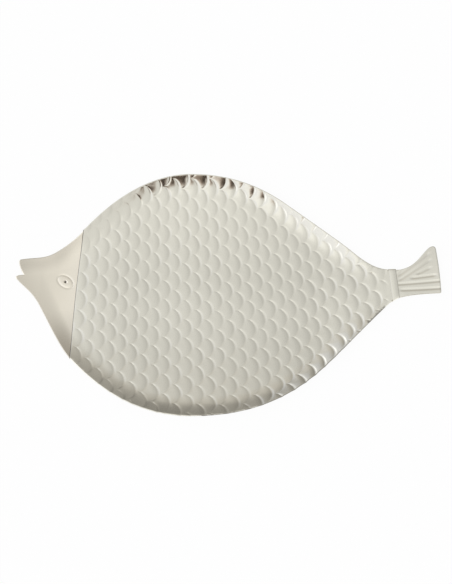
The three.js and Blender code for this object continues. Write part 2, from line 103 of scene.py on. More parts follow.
# Dish: a trough on both sides of a level strip, a curl along both edges, and ends that sweep up
TROUGH_HEIGHT = 13.0
LEVEL_HALF = 20.0
CURL_HEIGHT = 6.0
CURL_REACH = 22.0
CURL_AT_SNOUT = 0.12
CURL_RUN = 110.0
CURL_FADE = 60.0
GILL_RAMP = 110.0
GILL_LIFT = 3.3
SNOUT_BEND = 66.0
SNOUT_LIFT = 7.0
TAIL_RAMP = 95.0
TAIL_LEVEL = 15.0
TAIL_LIFT = 5.5
TAIL_SWEEP = 4.5
SLOPE_STEP = 0.5

# Chased scales. A pair such as LOW_PART is the start and end of a soft step
CHASING = 0.66
BODY_TOP = SHEET + CHASING
SCALE_PITCH = 12.32
SCALE_HALF = 11.5
SCALE_ORIGIN = Vector((7.7, -6.4))
SCALE_FALL = 6.4
SCALE_STEP = 2.6
SCALE_RISE = 6.0
STEP_SHARE = 0.45
SCALE_REACH = 9.6
FALL_CURVE = 1.8
LOW_FADE = 0.45
LOW_PART = (0.1, 0.9)
ROW_BEND_RADIUS = 1313.0
COLUMN_FAN_RADIUS = 1928.0
COLUMN_LEAN = -0.05
BEND_ROUNDS = 6
SCALE_COLUMNS = 18
SCALE_ROWS = 16
ARCS_IN_REACH = 4
ARC_STEPS = 5
FIELD_LINES = [0.3, 0.65]
SCALE_LINES = [-1.0, -0.5, -0.14, 0.0, 0.5, 1.0]
SCALE_FADE = (183.0, 189.0)
HAND_SPREAD = 0.4
HAND_COLUMN_STEP = 1.37
HAND_ROW_STEP = 2.11
HAND_LEVEL = 0.5
HAND_WANDER = 1.2
HAND_WAVE = 19.0
HAND_SEED = 3
WANDER_ROUNDS = 3

# Where the chasing is deeper or shallower, along the length and inside each edge
BACK_GAIN = 1.0
BACK_GAIN_LATE = 0.35
BACK_EASE = (40.0, 90.0)
BACK_BAND_START = (1.0, 5.0)
BACK_BAND_END = (12.0, 24.0)
BACK_START = (-114.0, -100.0)
BACK_END = (150.0, 178.0)
BROW_LOSS = 0.75
BROW_BAND = (8.0, 24.0)
RIM_GAIN = 0.6
RIM_BAND = (6.0, 11.0)
RIM_START = (60.0, 90.0)
RIM_END = (165.0, 182.0)
BELLY_LOSS = 0.15
BELLY_GAIN = 0.7
BELLY_EASE = (20.0, 80.0)
BELLY_BAND = (6.0, 20.0)
FRONT_LOSS = 0.25
FRONT_PART = (30.0, 130.0)

# Body's edges and tone, with painted shade along the gill seam and the belly's edge
SEAM_BULGE = 1.2
# The width of the painted shadow along the gill seam
SEAM_WIDTH = 0.4
SEAM_EDGE = 1.0
EDGE_WIDTH = 1.0
SCALE_TONING = 0.13
# An even darkening over most of the body, fading out between these x towards the neck
BODY_DARKENING = 0.11
BODY_DARKENING_FADE = (150.0, NECK_X)
# Painted shade along the belly's edge, between these x
BELLY_EDGE_SHADE = 0.8
BELLY_SHADED_FROM = -30.0
BELLY_SHADED_TO = 184.0

# Head and eye
HEAD_TOP = -JOINT_GAP
HEAD_LAP = 7.0
LAP_INSET = 4.0
HEAD_GRID = 0.9
# Painted shade on the head: browner along the brow and down the cheek, darker at the jaw's very edge
BROW_SHADE = 0.27
BROW_SHADED_BAND = (6.0, 22.0)
BROW_SHADED = (172.0, 200.0)
CHEEK_SHADE = 0.3
CHEEK_SHADED = (-225.0, -190.0)
CHEEK_SHADED_DOWN = (10.0, 60.0)
EDGE_SHADE = 0.35
EYE_PLACE = Vector((-192.79, 16.5))
EYE_TILT = math.radians(-36)
EYE_HALF_LENGTH = 10.25
EYE_HALF_WIDTH = 6.7
EYE_SINK = 0.28
EYE_SINK_REACH = 1.22
EYE_RISE = 0.45
EYE_SEAT = 0.1
EYE_SIDES = 56
EYE_RINGS = [
    (1.0, 0.0),
    (0.96, 0.08),
    (0.91, 0.26),
    (0.84, 0.51),
    (0.76, 0.72),
    (0.64, 0.87),
    (0.5, 0.95),
    (0.35, 1.0),
]
RIVET_SHANK = 0.9
RIVET_TAIL_RADIUS = 3.0
RIVET_TAIL_HEIGHT = 0.7
RIVET_TAIL_ROUND = 0.3
RIVET_TAIL_DRAFT = 0.1
RIVET_SIDES = 28
PUPIL_RADIUS = 1.15
PUPIL_GAP = 0.08
PUPIL_SINK = 0.1
PUPIL_RINGS = [(1.0, 0.1), (0.85, 0.22), (0.5, 0.3), (0.15, 0.33)]
# Painted shade that darkens the pupil
PUPIL_SHADE = 0.6

# Collar
COLLAR_SET = 1.0
COLLAR_WIDTH = 8.9
COLLAR_LEAN = 3.0
COLLAR_WALL = 1.1
COLLAR_CROWN = 0.3
COLLAR_TOP = 3.25
COLLAR_UNDERSIDE = -3.2
COLLAR_SIDES = 72
COLLAR_RINGS = 9
COLLAR_SQUARE = 12.0
COLLAR_BEVEL = 0.3
COLLAR_BEVEL_ANGLE = math.radians(60)
# Painted shade along both edges of the band and on its tail side
COLLAR_EDGE_SHADE = 0.42
COLLAR_LINE_START = (0.0, 0.08)
COLLAR_LINE_END = (0.92, 1.0)
BAND_SIDE_SHADE = 0.1
BAND_SHADED = (0.4, 0.9)
NECK_INSET = 1.7
NECK_STOP = 1.5
NECK_STEPS = 6
TONGUE_PAST_COLLAR = 4.0

# Tail fin. A ray has its start and end as shares of the neck's height and of the tail's end, and the
# shares of the tail's length between which it is cut
TAIL_TIP_Y = 58.3
TAIL_TIP_ROUND = 9.5
TAIL_TIP_CROWN = 1.8
TAIL_TIP_SLANT = 3.3
TAIL_TIP_SWEEP = 11.0
TAIL_ROOT_SWEEP = 20.0
TAIL_CORNER_Y = 0.4
TAIL_CORNER_ROUND = 2.4
TAIL_CORNER_STEPS = 5
TAIL_LOW_LEVEL = 0.6
TAIL_LOW_FIRST = 0.2
TAIL_LOW_SECOND = 0.5
TAIL_EDGE_STEPS = 16
TAIL_TIP_STEPS = 10
TAIL_SWEEP_STEPS = 20
TAIL_GRID = 0.8
RAY_DEPTH = 0.55
RAY_UPPER_SIDE = 2.3
RAY_LOWER_SIDE = 2.7
RAY_FADE = 0.12
RAY_TONING = 0.06
# Painted shade on the tail beside the collar, towards its tip, over its rear and along its end
ROOT_SHADED = (0.3, 1.2)
TIP_SHADE = 0.14
TIP_SHADED = (20.0, 64.0)
FAN_SHADE = 0.08
FAN_SHADED = (212.0, 236.0)
END_SHADE = 0.18
END_SHADED = (0.8, 2.6)
LOW_RAY = (0.262, 0.114)
LOW_TURN = 0.04
TAIL_RAYS = [
    (*LOW_RAY, 0.0, 1.15),
    (0.474, 0.268, -0.06, 1.1),
    (0.64, 0.404, 0.28, 0.95),
    (0.5, 0.65, 0.42, 0.84),
    (0.562, 0.849, 0.0, 0.84),
    (0.727, 1.015, 0.0, 0.82),
    (0.784, 1.357, -0.12, 0.22),
]

# Camera, from the photograph's view
CAMERA_PLACE = Vector((-2.5, -363.2, 1203.4))
CAMERA_TILT = math.radians(17)
CAMERA_LENS = 65.5
CAMERA_REACH = 100000.0

# Floor and lamp
FLOOR_DROP = 0.2
FLOOR_SIZE = 12000.0
FLOOR_GREY = (0.9, 0.9, 0.9, 1)
FLOOR_WHITE = 0.93
WHITE = (1, 1, 1, 1)
LAMP_TURN = (math.radians(20), math.radians(-25), 0)
LAMP_SPREAD = math.radians(50)
LAMP_POWER = 0.8

# Light of the room, by the direction that it comes from. A pair is again a soft step
ROOM_LIGHT = 0.83
ROOM_MOST = 0.93
ROOM_LEAST = 0.04
ROOM_FALL_BACK = 0.43
ROOM_FALL_RIGHT = 0.45
ROOM_RIGHT_STOP = 0.2
LEFT_WALL_LIGHT = 0.45
LEFT_WALL = (0.52, 0.78)
GLOW_LIGHT = 0.08
GLOW_FRONT = (-0.1, 0.15)
GLOW_LEFT_START = (-0.05, 0.1)
GLOW_LEFT_END = (0.22, 0.4)
FRONT_SHADE = 0.72
FRONT_SHADE_START = (0.38, 0.56)
FRONT_SHADE_END = (0.84, 0.94)
FRONT_SHADE_LEFT = (-0.2, -0.04)
FRONT_SHADE_RIGHT = (0.18, 0.4)
BACK_SHADE = 0.14
BACK_SHADE_START = (0.72, 0.92)
BACK_SHADE_LEFT = (-0.5, -0.1)
BACK_SHADE_RIGHT = (0.05, 0.25)
FRONT_SHADE_TINT = (1, 0.74, 0.58, 1)
BACK_TINT = (1, 0.965, 0.92, 1)
BACK_TINT_START = (0.35, 0.75)
LEFT_TINT = (0.98, 0.99, 1.04, 1)
LEFT_TINT_START = (0.12, 0.35)

# Silver
BRIGHT_SILVER = (0.985, 0.962, 0.85, 1)
BRIGHT_ROUGH = 0.14
RUBBED_SILVER = (1.0, 0.94, 0.805, 1)
RUBBED_ROUGH = 0.2
# The pupil's plate, painted dark as shade
SHADED_PUPIL_SILVER = (0.3, 0.27, 0.23, 1)
DARK_ROUGH = 0.35
# Dark colours that the attribute mixes in, for patina in the hollows and for painted shade; the second is
# the pupil's
TONE_AND_SHADE_SILVER = (0.2, 0.18, 0.15, 1)
SHADED_PUPIL_DARKEST = (0.08, 0.07, 0.06, 1)
TONE_AND_SHADE_ROUGH = 0.08
MOTTLE_SCALE = 38.0
MOTTLE_TONE = 0.05
MOTTLE_ROUGH = 0.05
GRAIN_SCALE = 900.0
GRAIN_TONE = 0.03
GRAIN_RELIEF = 0.004
WASH_SCALE = 14.0
WASH_RELIEF = 0.6
RELIEF_STRENGTH = 0.25
RELIEF_HEIGHT = 1.0


# Small sums

def mix(start, end, share):
    """The value a share of the way between two."""
    return start + (end - start) * share


def smooth(value, low, high):
    """A soft step from 0 at low to 1 at high."""
    share = min(1.0, max(0.0, (value - low) / (high - low)))
    return share * share * (3 - 2 * share)


def between(value, start, end):
    """1 between two soft steps and 0 outside them."""
    return smooth(value, *start) * (1 - smooth(value, *end))


def quadratic(start, control, end, count):
    """Points after the start along a curve with one control point."""
    points = []
    for k in range(1, count + 1):
        t = k / count
        points.append(start * (1 - t) ** 2 + control * (2 * t * (1 - t)) + end * t**2)
    return points


def cubic(start, first, second, end, count):
    """Points after the start along a curve with two control points."""
    points = []
    for k in range(1, count + 1):
        t = k / count
        s = 1 - t
        points.append(start * s**3 + first * (3 * s * s * t) + second * (3 * s * t * t) + end * t**3)
    return points


# The formed surface

def edge_at(knots, x):
    """The height and slope of an edge curve at x, level beyond its two ends."""
    if x <= knots[0][0]:
        return knots[0][1], 0.0
    if x >= knots[-1][0]:
        return knots[-1][1], 0.0
    after = next(k for k, knot in enumerate(knots) if knot[0] > x)
    x0, y0, slope0 = knots[after - 1]
    x1, y1, slope1 = knots[after]
    span = x1 - x0
    t = (x - x0) / span
    rise = (y1 - y0) / span
    bend = slope0 + slope1 - 2 * rise
    turn = rise - slope0 - bend
    height = y0 + span * t * (slope0 + t * (turn + t * bend))
    return height, slope0 + t * (2 * turn + 3 * t * bend)


def trough_lift(y):
    """How far the trough has climbed at a distance from the long axis."""
    beyond = max(0.0, abs(y) - LEVEL_HALF) / (HALF_WIDTH - LEVEL_HALF)
    return TROUGH_HEIGHT * beyond * beyond


def curl_lift(inset):
    """How far the curl has climbed at a distance inside the edge."""
    climb = max(0.0, 1 - inset / CURL_REACH)
    return CURL_HEIGHT * climb * climb


def curl_share(x):
    """How much curl there is along the length."""
    head_side = mix(CURL_AT_SNOUT, 1.0, smooth(x, SNOUT_X, SNOUT_X + CURL_RUN))
    return head_side * (1 - smooth(x, NECK_X - CURL_FADE, NECK_X))


def end_lift(x):
    """How far the head and tail are raised from the level middle."""
    gill = 1 - smooth(x, GILL_TOP.x, GILL_TOP.x + GILL_RAMP)
    snout = max(0.0, SNOUT_X + SNOUT_BEND - x) / SNOUT_BEND
    tail = smooth(x, NECK_X - TAIL_RAMP, NECK_X + TAIL_LEVEL)
    sweep = max(0.0, x - NECK_X) / TAIL_LENGTH
    head_end = GILL_LIFT * gill + SNOUT_LIFT * snout * snout
    tail_end = TAIL_LIFT * tail + TAIL_SWEEP * sweep * sweep
    return head_end + tail_end


def back_inset(x, y):
    """How far a point lies inside the back's edge."""
    edge_y, slope = edge_at(BACK_EDGE, x)
    return (edge_y - y) / math.hypot(1, slope)


def belly_inset(x, y):
    """How far a point lies inside the belly's edge."""
    edge_y, slope = edge_at(BELLY_EDGE, x)
    return (y - edge_y) / math.hypot(1, slope)


def dish(x, y):
    """The platter's formed surface, which every piece follows."""
    curl = curl_lift(back_inset(x, y)) + curl_lift(belly_inset(x, y))
    return trough_lift(y) + curl_share(x) * curl + end_lift(x)


def dish_normal(x, y):
    """The direction that the formed surface faces."""
    slope_x = (dish(x + SLOPE_STEP, y) - dish(x - SLOPE_STEP, y)) / (2 * SLOPE_STEP)
    slope_y = (dish(x, y + SLOPE_STEP) - dish(x, y - SLOPE_STEP)) / (2 * SLOPE_STEP)
    return Vector((-slope_x, -slope_y, 1)).normalized()


# The scale pattern

noise.seed_set(HAND_SEED)


def wander(x, y):
    """How far the hand strays from the true pattern at a point."""
    return noise.noise_vector(Vector((x, y, 0)) / HAND_WAVE).to_2d() * HAND_WANDER


def pattern_point(along, up):
    """A point of the straight pattern, bent and fanned onto the plate."""
    along += SCALE_ORIGIN.x
    x = along * (1 - up / COLUMN_FAN_RADIUS) + COLUMN_LEAN * up
    y = SCALE_ORIGIN.y + up + along * along / (2 * ROW_BEND_RADIUS)
    return Vector((x, y)) + wander(x, y)


def pattern_place(x, y):
    """Where a point of the plate lies in the straight pattern."""
    true = Vector((x, y))
    for _ in range(WANDER_ROUNDS):
        true = Vector((x, y)) - wander(true.x, true.y)
    x, y = true
    along = x
    up = 0.0
    for _ in range(BEND_ROUNDS):
        up = y - SCALE_ORIGIN.y - along * along / (2 * ROW_BEND_RADIUS)
        along = (x - COLUMN_LEAN * up) / (1 - up / COLUMN_FAN_RADIUS)
    return along - SCALE_ORIGIN.x, up


def scale_row(column, up):
    """The row of the scale that a column has at this height, and how full its arc is there."""
    parity = column % 2
    row = 2 * round((up / SCALE_HALF - parity) / 2) + parity
    local = up / SCALE_HALF - row
    return row, math.sqrt(max(0.0, 1 - local * local))


def hand(column, row):
    """The punch's weight on one scale, as a hand varies it."""
    place = Vector((column * HAND_COLUMN_STEP, row * HAND_ROW_STEP, HAND_LEVEL))
    return 1 - HAND_SPREAD * abs(noise.noise(place))


def scale_depth(x, y):
    """How deep the chasing is at a point, as a share of the full depth."""
    along, up = pattern_place(x, y)
    first = math.floor((along - SCALE_REACH - SCALE_STEP) / SCALE_PITCH)
    depth = 0.0
    for column in range(first, first + ARCS_IN_REACH):
        row, taper = scale_row(column, up)
        beyond = along - column * SCALE_PITCH - SCALE_REACH * taper
        fall = SCALE_FALL * math.sqrt(taper)
        rise = SCALE_RISE * math.sqrt(taper)
        if -fall < beyond <= 0:
            share = (1 + beyond / fall) ** FALL_CURVE
        elif 0 < beyond < rise:
            step = 1 - smooth(beyond, 0, SCALE_STEP * math.sqrt(taper))
            share = mix((1 - beyond / rise) ** 2, step, STEP_SHARE)
        else:
            continue
        low = smooth(row - up / SCALE_HALF, *LOW_PART)
        depth = max(depth, share * taper * mix(1, LOW_FADE, low) * hand(column, row))
    return depth * (1 - smooth(x, *SCALE_FADE))


def edge_gain(x, y):
    """How deep the chasing is by place: deeper along the back and the rear belly, shallower at the brow."""
    inside_back = back_inset(x, y)
    inside_belly = belly_inset(x, y)
    near_back = between(inside_back, BACK_BAND_START, BACK_BAND_END) * between(x, BACK_START, BACK_END)
    near_rim = (1 - smooth(inside_back, *RIM_BAND)) * between(x, RIM_START, RIM_END)
    near_brow = (1 - smooth(inside_back, *BROW_BAND)) * (1 - smooth(x, *BACK_START))
    near_belly = 1 - smooth(inside_belly, *BELLY_BAND)
    back_gain = mix(BACK_GAIN, BACK_GAIN_LATE, smooth(x, *BACK_EASE)) * near_back
    belly_gain = mix(-BELLY_LOSS, BELLY_GAIN, smooth(x, *BELLY_EASE)) * near_belly
    front_loss = FRONT_LOSS * (1 - smooth(x, *FRONT_PART))
    return 1 + back_gain + RIM_GAIN * near_rim + belly_gain - BROW_LOSS * near_brow - front_loss


def body_top(x, y):
    """The height of the body's upper side over the formed surface."""
    return BODY_TOP - CHASING * scale_depth(x, y) * edge_gain(x, y)


def scale_grid_point(i, j):
    """A point of the body's grid, whose lines follow the arcs of the scales."""
    line_count = len(FIELD_LINES) + len(SCALE_LINES)
    column = i // line_count - SCALE_COLUMNS
    line = i % line_count
    half_row = j // ARC_STEPS
    share = (1 - math.cos(math.pi * (j % ARC_STEPS) / ARC_STEPS)) / 2
    up = (half_row + share - SCALE_ROWS) * SCALE_HALF
    taper = scale_row(column, up)[1]
    arc = column * SCALE_PITCH + SCALE_REACH * taper
    crest = arc + SCALE_LINES[0] * SCALE_FALL * math.sqrt(taper)
    if line < len(FIELD_LINES):
        before = scale_row(column - 1, up)[1]
        step_end = (column - 1) * SCALE_PITCH + SCALE_REACH * before + SCALE_STEP * math.sqrt(before)
        return pattern_point(mix(step_end, crest, FIELD_LINES[line]), up)
    offset = SCALE_LINES[line - len(FIELD_LINES)]
    reach = SCALE_FALL if offset < 0 else SCALE_STEP
    return pattern_point(arc + offset * reach * math.sqrt(taper), up)


# Outlines, each counterclockwise seen from above

def edge_points(knots, from_x, to_x):
    """Points along an edge curve from one x to another."""
    count = max(1, math.ceil(abs(to_x - from_x) / EDGE_STEP))
    xs = [mix(from_x, to_x, k / count) for k in range(count + 1)]
    return [Vector((x, edge_at(knots, x)[0])) for x in xs]


def gill_point(t):
    """A point of the gill seam at a share of the way from belly to back."""
    return GILL_LOW.lerp(GILL_TOP, t) - Vector((GILL_BOW * 4 * t * (1 - t), 0))


def gill_points(offset, inset):
    """Points along the gill seam from belly to back, moved towards the tail by an offset."""
    count = math.ceil((GILL_TOP.y - GILL_LOW.y) / (2 * EDGE_STEP))
    shares = [mix(inset, 1 - inset, k / count) for k in range(count + 1)]
    return [gill_point(t) + Vector((offset, 0)) for t in shares]


def collar_x(y, offset):
    """The x of the collar's leaning front edge at a height, moved towards the tail by an offset."""
    lean = COLLAR_LEAN * (NECK_TOP - y) / (NECK_TOP - NECK_LOW)
    return NECK_X - COLLAR_SET + lean + offset


def neck_point(knots, offset, inset):
    """A point of the neck at an offset from the collar's front edge, moved in y from an edge."""
    y = edge_at(knots, collar_x(knots[-1][1], offset))[0] + inset
    return Vector((collar_x(y, offset), y))


def neck_line(knots, start, end, inset):
    """Points along the neck between two offsets from the collar's front edge."""
    return [neck_point(knots, mix(start, end, k / NECK_STEPS), inset) for k in range(NECK_STEPS + 1)]


def body_outline():
    """From the gill seam along the belly to the neck inside the collar, and back along the top."""
    neck_end = COLLAR_WIDTH - NECK_STOP
    belly_end = neck_point(BELLY_EDGE, -JOINT_GAP, 0).x
    back_end = neck_point(BACK_EDGE, -JOINT_GAP, 0).x
    return [
        *edge_points(BELLY_EDGE, GILL_LOW.x, belly_end),
        *neck_line(BELLY_EDGE, -JOINT_GAP, neck_end, NECK_INSET),
        *neck_line(BACK_EDGE, neck_end, -JOINT_GAP, -NECK_INSET),
        *edge_points(BACK_EDGE, back_end, GILL_TOP.x),
        *gill_points(0, 0)[-2:0:-1],
    ]


def head_outline():
    """Jaw, the lap behind the gill seam, brow and the open mouth."""
    lap_inset = LAP_INSET / (GILL_TOP.y - GILL_LOW.y)
    upper = Vector((LIP_FRONT.x - LIP_BULGE, LIP_TOP.y))
    inside = Vector((LIP_FRONT.x + MOUTH_BOW, mix(MOUTH_CORNER.y, LIP_FRONT.y, MOUTH_BOW_SHARE)))
    lower = Vector((mix(MOUTH_CORNER.x, LOW_LIP.x, LOW_LIP_SHARE), MOUTH_CORNER.y))
    chin_reach = math.sqrt((LOW_LIP.x - SNOUT_X) * (JAW.x - SNOUT_X))
    chin = Vector((SNOUT_X - chin_reach, LOW_LIP.y - CHIN_BOW))
    points = [
        *edge_points(BELLY_EDGE, JAW.x, GILL_LOW.x),
        *gill_points(HEAD_LAP, lap_inset),
        *edge_points(BACK_EDGE, GILL_TOP.x, LIP_TOP.x),
        *quadratic(LIP_TOP, upper, LIP_FRONT, LIP_STEPS),
        *quadratic(LIP_FRONT, inside, MOUTH_CORNER, LIP_STEPS),
        *quadratic(MOUTH_CORNER, lower, LOW_LIP, LIP_STEPS),
        *quadratic(LOW_LIP, chin, JAW, LIP_STEPS),
    ]
    return points[:-1]


def tail_outline():
    """The tongue inside the collar, then the fan with its rounded upper tip."""
    root_offset = COLLAR_WIDTH + JOINT_GAP
    root_low = neck_point(BELLY_EDGE, root_offset, 0)
    root_top = neck_point(BACK_EDGE, root_offset, 0)
    corner = Vector((HALF_LENGTH - TAIL_CORNER_ROUND, TAIL_CORNER_Y))
    sharp_corner = Vector((HALF_LENGTH, TAIL_CORNER_Y))
    corner_end = Vector((HALF_LENGTH, TAIL_CORNER_Y + TAIL_CORNER_ROUND))
    tip_x = HALF_LENGTH - TAIL_TIP_SLANT
    tip = Vector((tip_x, TAIL_TIP_Y - TAIL_TIP_ROUND / 2))
    tip_top = TAIL_TIP_Y + TAIL_TIP_CROWN
    tip_back = Vector((tip_x - TAIL_TIP_ROUND, TAIL_TIP_Y - TAIL_TIP_CROWN))
    level_y = mix(root_low.y, TAIL_CORNER_Y, TAIL_LOW_LEVEL)
    low_first = Vector((mix(root_low.x, corner.x, TAIL_LOW_FIRST), level_y))
    low_second = Vector((mix(root_low.x, corner.x, TAIL_LOW_SECOND), TAIL_CORNER_Y))
    end_middle = Vector((HALF_LENGTH, mix(TAIL_CORNER_Y, TAIL_TIP_Y, 0.5)))
    tip_first = Vector((tip_x, tip_top))
    tip_second = Vector((tip_x - TAIL_TIP_ROUND / 2, tip_top))
    top_first = tip_back - Vector((TAIL_TIP_SWEEP, TAIL_TIP_SWEEP))
    top_second = Vector((root_top.x + TAIL_ROOT_SWEEP, root_top.y))
    return [
        *neck_line(BACK_EDGE, root_offset, -TONGUE_PAST_COLLAR, -NECK_INSET),
        *neck_line(BELLY_EDGE, -TONGUE_PAST_COLLAR, root_offset, NECK_INSET),
        root_low,
        *cubic(root_low, low_first, low_second, corner, TAIL_EDGE_STEPS),
        *quadratic(corner, sharp_corner, corner_end, TAIL_CORNER_STEPS),
        *quadratic(corner_end, end_middle, tip, TAIL_EDGE_STEPS),
        *cubic(tip, tip_first, tip_second, tip_back, TAIL_TIP_STEPS),
        *cubic(tip_back, top_first, top_second, root_top, TAIL_SWEEP_STEPS),
    ]


def outward_normals(outline):
    """The direction out of an outline at each of its points."""
    normals = []
    for k, point in enumerate(outline):
        before = (point - outline[k - 1]).normalized()
        after = (outline[(k + 1) % len(outline)] - point).normalized()
        normals.append(Vector((before.y + after.y, -before.x - after.x)).normalized())
    return normals


def set_in(outline, height):
    """Moves an outline so that the rounded edge of a sheet at a height reaches the old line."""
    moved = []
    for point, out in zip(outline, outward_normals(outline)):
        normal = dish_normal(point.x, point.y)
        lean = -normal.to_2d().dot(out)
        moved.append(point + out * (lean * (height - SHEET_ROUND) - SHEET_ROUND))
    return moved


def outward_at(outline, normals, place):
    """The direction out of an outline at the point of it that is nearest to a place."""
    nearest = math.inf
    found = None
    for k, start in enumerate(outline):
        after = (k + 1) % len(outline)
        run = outline[after] - start
        share = min(1.0, max(0.0, (place - start).dot(run) / run.length_squared))
        distance = (start + run * share - place).length_squared
        if distance < nearest:
            nearest = distance
            found = normals[k].lerp(normals[after], share)
    return found.normalized()


# Modelling steps

def start_editing(piece):
    """Opens one piece in edit mode, with nothing else selected."""
    bpy.ops.object.select_all(action="DESELECT")
    piece.select_set(True)
    bpy.context.view_layer.objects.active = piece
    bpy.ops.object.mode_set(mode="EDIT")


def stop_editing():
    bpy.ops.object.mode_set(mode="OBJECT")


def select_faces(piece, wanted):
    """Selects the faces of a piece that a test picks."""
    bpy.context.tool_settings.mesh_select_mode = (False, False, True)
    start_editing(piece)
    bpy.ops.mesh.select_all(action="DESELECT")
    stop_editing()
    for face in piece.data.polygons:
        face.select = wanted(face)
    start_editing(piece)


def select_edges(piece, wanted):
    """Selects the edges of a piece that a test of their two ends picks."""
    bpy.context.tool_settings.mesh_select_mode = (False, True, False)
    start_editing(piece)
    bpy.ops.mesh.select_all(action="DESELECT")
    stop_editing()
    vertices = piece.data.vertices
    for edge in piece.data.edges:
        start, end = edge.vertices
        edge.select = wanted(vertices[start].co, vertices[end].co)
    start_editing(piece)


def apply_modifier(piece, kind, **settings):
    """Adds a modifier with its settings and applies it."""
    modifier = piece.modifiers.new(kind.lower(), kind)
    for name, value in settings.items():
        setattr(modifier, name, value)
    bpy.ops.object.select_all(action="DESELECT")
    bpy.context.view_layer.objects.active = piece
    bpy.ops.object.modifier_apply(modifier=modifier.name)


def flat_block(name, columns, rows, point_at):
    """A flat block on a grid, to be cut to an outline."""
    bpy.ops.object.select_all(action="DESELECT")
    bpy.ops.mesh.primitive_grid_add(x_subdivisions=columns, y_subdivisions=rows, size=1)
    block = bpy.context.object
    block.name = name
    for vertex in block.data.vertices:
        i = round((vertex.co.x + 0.5) * columns)
        j = round((vertex.co.y + 0.5) * rows)
        vertex.co = Vector((*point_at(i, j), 0)) * MM
    start_editing(block)
    bpy.ops.mesh.select_all(action="SELECT")
    bpy.ops.mesh.remove_doubles(threshold=GRID_MERGE * MM)
    bpy.ops.mesh.extrude_region_move(TRANSFORM_OT_translate={"value": (0, 0, -SHEET * MM)})
    bpy.ops.mesh.select_all(action="SELECT")
    bpy.ops.mesh.normals_make_consistent(inside=False)
    stop_editing()
    return block


def even_block(name, outline, spacing):
    """A flat block on an even grid that covers an outline."""
    low = Vector((min(p.x for p in outline) - spacing, min(p.y for p in outline) - spacing))
    high = Vector((max(p.x for p in outline) + spacing, max(p.y for p in outline) + spacing))
    columns = math.ceil((high.x - low.x) / spacing)
    rows = math.ceil((high.y - low.y) / spacing)
    return flat_block(name, columns, rows, lambda i, j: (low.x + i * spacing, low.y + j * spacing))


def cut_to_outline(block, outline):
    """Keeps the part of a block's upper side that lies inside an outline."""
    bpy.ops.object.select_all(action="DESELECT")
    bpy.ops.mesh.primitive_circle_add(vertices=len(outline), radius=1, fill_type="NGON")
    cutter = bpy.context.object
    for vertex, point in zip(cutter.data.vertices, outline):
        vertex.co = Vector((point.x, point.y, CUTTER_BASE)) * MM
    start_editing(cutter)
    bpy.ops.mesh.select_all(action="SELECT")
    bpy.ops.mesh.extrude_region_move(TRANSFORM_OT_translate={"value": (0, 0, CUTTER_HEIGHT * MM)})
    bpy.ops.mesh.select_all(action="SELECT")
    bpy.ops.mesh.normals_make_consistent(inside=False)
    stop_editing()
    apply_modifier(block, "BOOLEAN", operation="INTERSECT", solver="MANIFOLD", object=cutter)
    bpy.data.objects.remove(cutter)
    select_faces(block, lambda face: face.normal.z < FACES_UP)
    bpy.ops.mesh.delete(type="FACE")
    bpy.ops.mesh.select_mode(type="VERT")
    bpy.ops.mesh.select_all(action="DESELECT")
    bpy.ops.mesh.select_non_manifold()
    bpy.ops.mesh.remove_doubles(threshold=OUTLINE_MERGE * MM)
    bpy.ops.mesh.select_mode(type="FACE")
    bpy.ops.mesh.select_face_by_sides(number=4, type="GREATER", extend=False)
    bpy.ops.mesh.quads_convert_to_tris(ngon_method="BEAUTY")
    stop_editing()


def thicken(piece):
    """Gives a flat side the sheet's thickness, with lines along its edge to round it."""
    start_editing(piece)
    bpy.ops.mesh.select_all(action="SELECT")
    bpy.ops.mesh.extrude_region_move(TRANSFORM_OT_translate={"value": (0, 0, -SHEET * MM)})
    bpy.ops.mesh.select_all(action="SELECT")
    bpy.ops.mesh.normals_make_consistent(inside=False)
    stop_editing()
    select_edges(piece, lambda start, end: abs(start.z - end.z) > SHEET_ROUND * MM)
    bpy.ops.mesh.subdivide(number_cuts=EDGE_LINES)
    stop_editing()


def form_sheet(piece, outline, top_at, bulge_at):
    """Lays a flat sheet with a rounded edge on the formed surface."""
    normals = outward_normals(outline)
    highest = max(vertex.co.z for vertex in piece.data.vertices)
    places = {}
    for vertex in piece.data.vertices:
        x = vertex.co.x / MM
        y = vertex.co.y / MM
        key = (round(x, 3), round(y, 3))
        if key not in places:
            base = Vector((x, y, dish(x, y)))
            places[key] = base, dish_normal(x, y), top_at(x, y)
        base, normal, top = places[key]
        turn = math.pi * (highest - vertex.co.z) / (SHEET * MM)
        point = base + normal * (top - SHEET_ROUND * (1 - math.cos(turn)))
        if math.sin(turn) > EDGE_PART:
            out = outward_at(outline, normals, Vector((x, y))).to_3d()
            along = (out - normal * out.dot(normal)).normalized()
            point += along * bulge_at(x, y) * math.sin(turn)
        vertex.co = point * MM


def half_round(x, y):
    """The bulge of an edge that is rounded evenly."""
    return SHEET_ROUND


def shade(piece):
    """Shades a finished piece smoothly."""
    bpy.ops.object.select_all(action="DESELECT")
    piece.select_set(True)
    bpy.context.view_layer.objects.active = piece
    bpy.ops.object.shade_smooth()


def mark_tone_and_shade(piece, tone_and_shade_at):
    """Stores how dark the silver is painted at each vertex, by its place, for patina and for painted shade.
    """
    layer = piece.data.attributes.new("tone_and_shade", "FLOAT", "POINT")
    for vertex, value in zip(piece.data.vertices, layer.data):
        value.value = tone_and_shade_at(vertex.co.x / MM, vertex.co.y / MM)


# Pieces

def past_gill(x, y):
    """How far a point lies behind the gill seam."""
    t = (y - GILL_LOW.y) / (GILL_TOP.y - GILL_LOW.y)
    return x - gill_point(min(1.0, max(0.0, t))).x


def body_bulge(x, y):
    """The bulge of the body's edge, which is rolled wider along the gill seam."""
    return SEAM_BULGE if past_gill(x, y) < 2 * SHEET_ROUND else SHEET_ROUND


